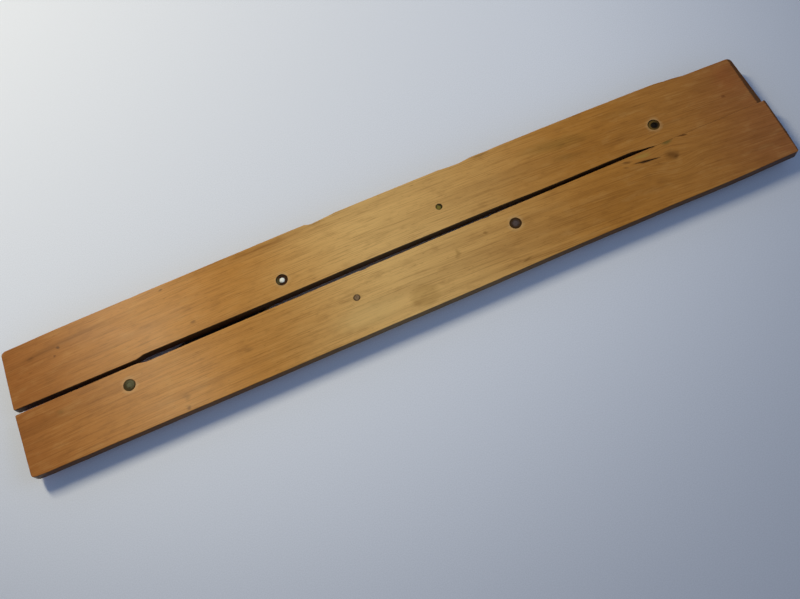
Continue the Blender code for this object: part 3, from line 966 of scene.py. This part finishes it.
def cleaned(mesh, creaseAngle):
    bm = bmesh.new()
    bm.from_mesh(mesh)
    bmesh.ops.remove_doubles(bm, verts=bm.verts, dist=turnedSetup["merge"])
    bmesh.ops.dissolve_degenerate(bm, edges=bm.edges, dist=turnedSetup["merge"] / 10)
    bmesh.ops.recalc_face_normals(bm, faces=bm.faces)
    bm.to_mesh(mesh)
    bm.free()
    mesh.shade_smooth()
    mesh.set_sharp_from_angle(angle=math.radians(creaseAngle))


def runTree(name, points, tree, values):
    edges = [(index, index + 1) for index in range(len(points) - 1)]
    mesh = bpy.data.meshes.new(name)
    mesh.from_pydata(points, edges, [])
    piece = bpy.data.objects.new(name, mesh)
    bpy.context.scene.collection.objects.link(piece)
    modifier = piece.modifiers.new(tree.name, "NODES")
    modifier.node_group = tree
    for item in tree.interface.items_tree:
        if item.in_out == "INPUT" and item.name in values:
            modifier[item.identifier] = values[item.name]
    bpy.context.view_layer.update()
    evaluated = piece.evaluated_get(bpy.context.evaluated_depsgraph_get())
    plain = bpy.data.meshes.new_from_object(evaluated)
    piece.modifiers.clear()
    piece.data = plain
    cleaned(plain, turnedSetup["creaseAngle"])
    return piece


turningTree = makeTurningTree()


def turnedPiece(name, profile, place, material, node, body, flutes=(0.0, 0.0, 1.0), uneven=0.0,
                seed=0.0):
    points = [(point[0], 0.0, point[1]) for point in profile]
    piece = runTree(name, points, turningTree, {
        "Points": len(points), "Steps": int(flutes[0] * 8) or turnedSetup["steps"],
        "Place": (place.x, place.y, 0.0), "Flutes": flutes[0], "Flute Depth": flutes[1],
        "Flutes From": flutes[2], "Unevenness": uneven, "Seed": seed,
        "Merge": turnedSetup["merge"], "Material": material})
    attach(piece, body)
    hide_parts(node)
    return piece


def ringProfile(inner, outer, low, high, rounding):
    corners = [(inner, high), (outer, high), (outer, low), (inner, low)]
    return softened(corners, rounding, closed=True)


def domeProfile(radius, foot, height, steps=8):
    # quarter ellipse from the rim down to the foot of a rivet head
    points = []
    for step in range(steps + 1):
        turn = math.pi / 2 * step / steps
        points.append((foot + (radius - foot) * math.cos(turn), height * (1 - math.sin(turn))))
    return points


tails = {
    # how each rivet was closed at the back: sunk is the depth of its end, dome how far it bulges
    "lower_left": {"radius": 1.60, "sunk": 0.02, "dome": 0.05, "uneven": 0.05},
    "lower_right": {"radius": 1.60, "sunk": 0.02, "dome": 0.07, "uneven": 0.04},
    "upper_left": {"radius": 1.52, "sunk": 0.28, "dome": 0.30, "uneven": 0.02},
    "upper_right": {"radius": 1.50, "sunk": 0.66, "dome": 0.15, "uneven": 0.08},
}


def rivetProfile(tail):
    head = pivotHead["radius"]
    top = backFace - tail["sunk"] * mm
    radius = tail["radius"] * mm
    dome = tail["dome"] * mm
    end = [(0.0, top), (radius * 0.35, top - dome * 0.12), (radius * 0.68, top - dome * 0.45),
           (radius * 0.9, top - dome * 0.85), (radius, top - dome - 0.08 * mm),
           (radius, top - dome - 0.4 * mm), (shank, top - dome - 0.7 * mm)]
    body = [(shank, stack["headTop"]), (head, stack["headTop"])]
    foot = domeProfile(head, pivotHead["foot"], stack["headTop"] * 0.72)
    return end + softened([end[-1]] + body + [foot[0]], 0.12 * mm)[1:-1] + foot + [(0.0, 0.0)]


pivotHead = {"radius": 4.2 * mm, "foot": 2.0 * mm}
washerRadius = {"rosette": 5.0 * mm, "spacer": 4.5 * mm, "knobRosette": 6.5 * mm}
burrSink = {"lower_left": 0.03, "lower_right": 0.03, "upper_left": 0.50, "upper_right": 0.60}


def pieceName(side, what):
    words = side.split("_") + [what]
    return words[0] + "".join(word[0].upper() + word[1:] for word in words[1:])


for index, (side, place) in enumerate(pivots.items()):
    board = side.split("_")[0] + "_board"
    tail = tails[side]
    metal = tailMetal[side]
    turnedPiece(pieceName(side, "pivotRivet"), rivetProfile(tail), place,
                rivetMetal[side], side + "_pivot_rivet", board,
                uneven=tail["uneven"] * mm, seed=index)
    top = backFace - burrSink[side] * mm
    turnedPiece(pieceName(side, "backBurr"),
                ringProfile(1.66 * mm, burrRadius, top - 0.8 * mm, top, 0.10 * mm), place,
                metal, side + "_back_burr", board,
                uneven=0.06 * mm, seed=index + 10)
    turnedPiece(pieceName(side, "spacerWasher"),
                ringProfile(1.6 * mm, washerRadius["spacer"], *stack["spacer"], 0.15 * mm), place,
                turnedBrass, side + "_spacer_washer", board)
    turnedPiece(pieceName(side, "rosetteWasher"),
                ringProfile(1.6 * mm, washerRadius["rosette"], *stack["rosette"], 0.2 * mm), place,
                turnedBrass, side + "_rosette_washer", board)
print("pivot hardware made")

knobShape = {
    "radius": 7.0 * mm,
    "waist": 4.4 * mm,
    "collar": 5.6 * mm,
    "grip": (0.0, 2.4 * mm),
    "bore": 1.3 * mm,
    "flutes": 40.0,
    "fluteDepth": 0.28 * mm,
}
knobTail = {"lower": 0.04 * mm, "upper": 0.06 * mm}


def knobProfile():
    radius, waist, collar = knobShape["radius"], knobShape["waist"], knobShape["collar"]
    top = stack["knobTop"]
    bore = knobShape["bore"]
    outside = softened([
        (bore, 1.6 * mm), (bore, top), (collar, top), (collar, top - 0.5 * mm),
        (waist + 0.2 * mm, top - 0.9 * mm), (waist, top - 1.1 * mm), (waist + 0.1 * mm, 2.75 * mm),
        (radius - 0.9 * mm, 2.4 * mm), (radius - 0.15 * mm, 2.15 * mm), (radius, 1.8 * mm),
        (radius, 0.7 * mm), (radius - 0.15 * mm, 0.35 * mm), (radius - 0.8 * mm, 0.0),
        (4.6 * mm, 0.0), (4.3 * mm, 0.18 * mm), (2.4 * mm, 0.42 * mm), (1.2 * mm, 0.5 * mm)],
        0.18 * mm, 3)
    return [(0.0, 1.6 * mm)] + outside[1:-1] + [(0.6 * mm, 0.5 * mm), (0.0, 0.5 * mm)]


def knobRivetProfile(dome):
    radius = 1.86 * mm
    neck = backFace - 0.9 * mm
    return [(0.0, backFace), (radius * 0.6, backFace - dome * 0.4), (radius * 0.93, backFace - dome),
            (radius, backFace - dome - 0.06 * mm), (radius, neck), (1.1 * mm, neck - 0.15 * mm),
            (1.1 * mm, 1.95 * mm), (0.0, 1.9 * mm)]


for index, (side, place) in enumerate(knobs.items()):
    board = side + "_board"
    turnedPiece(pieceName(side, "fingerKnob"), knobProfile(), place, turnedBrass,
                side + "_knob", board,
                (knobShape["flutes"], knobShape["fluteDepth"], knobShape["radius"] - 0.3 * mm))
    turnedPiece(pieceName(side, "knobRivet"), knobRivetProfile(knobTail[side]), place,
                knobTailMetal[side], side + "_knob_rivet", board,
                uneven=0.05 * mm, seed=index + 20)
    turnedPiece(pieceName(side, "knobRosette"),
                ringProfile(1.35 * mm, washerRadius["knobRosette"], *stack["knobRosette"], 0.2 * mm),
                place, turnedBrass, side + "_knob_rosette", board)
print("knobs made")

# ---- links

linkShape = {
    "width": 12.0 * mm,
    "edge": 0.25 * mm,  # rounding of the filed edges
    "hole": 1.6 * mm,
    "steps": 96,
}


def makeLinkTree():
    # two rounded discs hulled into a bar, then drilled at both ends
    tree, given = groupTree("linkBar", (
        ("Start", "NodeSocketVector"), ("End", "NodeSocketVector"), ("Radius", "NodeSocketFloat"),
        ("Edge", "NodeSocketFloat"), ("Low", "NodeSocketFloat"), ("High", "NodeSocketFloat"),
        ("Hole", "NodeSocketFloat"), ("Steps", "NodeSocketInt"), ("Material", "NodeSocketMaterial")))
    rings = []
    drills = []
    thick = combine(tree, "SUBTRACT", given["High"], given["Low"])
    middle = combine(tree, "MULTIPLY", combine(tree, "ADD", given["High"], given["Low"]), 0.5)
    for end in ("Start", "End"):
        for turn in (0, 30, 60, 90):
            inset = combine(tree, "MULTIPLY", given["Edge"], 1 - math.cos(math.radians(turn)))
            rise = combine(tree, "MULTIPLY", given["Edge"], 1 - math.sin(math.radians(turn)))
            radius = combine(tree, "SUBTRACT", given["Radius"], inset)
            ring = addNode(tree, "GeometryNodeMeshCircle", links={
                "Vertices": given["Steps"], "Radius": radius})
            for height in (combine(tree, "ADD", given["Low"], rise),
                           combine(tree, "SUBTRACT", given["High"], rise)):
                lift = addNode(tree, "ShaderNodeCombineXYZ", links={2: height})
                where = addNode(tree, "ShaderNodeVectorMath", {"operation": "ADD"}, {
                    0: given[end], 1: lift.outputs[0]})
                rings.append(addNode(tree, "GeometryNodeTransform", links={
                    "Geometry": ring.outputs[0], "Translation": where.outputs[0]}).outputs[0])
        drill = addNode(tree, "GeometryNodeMeshCylinder", links={
            "Vertices": 48, "Radius": given["Hole"], "Depth": combine(tree, "MULTIPLY", thick, 2.0)})
        lift = addNode(tree, "ShaderNodeCombineXYZ", links={2: middle})
        where = addNode(tree, "ShaderNodeVectorMath", {"operation": "ADD"}, {
            0: given[end], 1: lift.outputs[0]})
        drills.append(addNode(tree, "GeometryNodeTransform", links={
            "Geometry": drill.outputs[0], "Translation": where.outputs[0]}).outputs[0])
    joined = addNode(tree, "GeometryNodeJoinGeometry")
    for ring in rings:
        tree.links.new(ring, joined.inputs[0])
    hull = addNode(tree, "GeometryNodeConvexHull", links={0: joined.outputs[0]})
    drilled = addNode(tree, "GeometryNodeMeshBoolean", {"operation": "DIFFERENCE"}, {
        "Mesh 1": hull.outputs[0]})
    for drill in drills:
        tree.links.new(drill, drilled.inputs["Mesh 2"])
    closeTree(tree, drilled.outputs[0], given["Material"])
    return tree


linkTree = makeLinkTree()
linkEnds = {"left_link": ("lower_left", "upper_left"), "right_link": ("lower_right", "upper_right")}
for node, (start, end) in linkEnds.items():
    first, last = pivots[start], pivots[end]
    link = runTree(node.split("_")[0] + "Link", [tuple(first)], linkTree, {
        "Start": (first.x, first.y, 0.0), "End": (last.x, last.y, 0.0),
        "Radius": linkShape["width"] / 2, "Edge": linkShape["edge"], "Low": stack["link"][0],
        "High": stack["link"][1], "Hole": linkShape["hole"], "Steps": linkShape["steps"],
        "Material": linkBrass})
    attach(link, node)
    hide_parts(node)
print("links made")
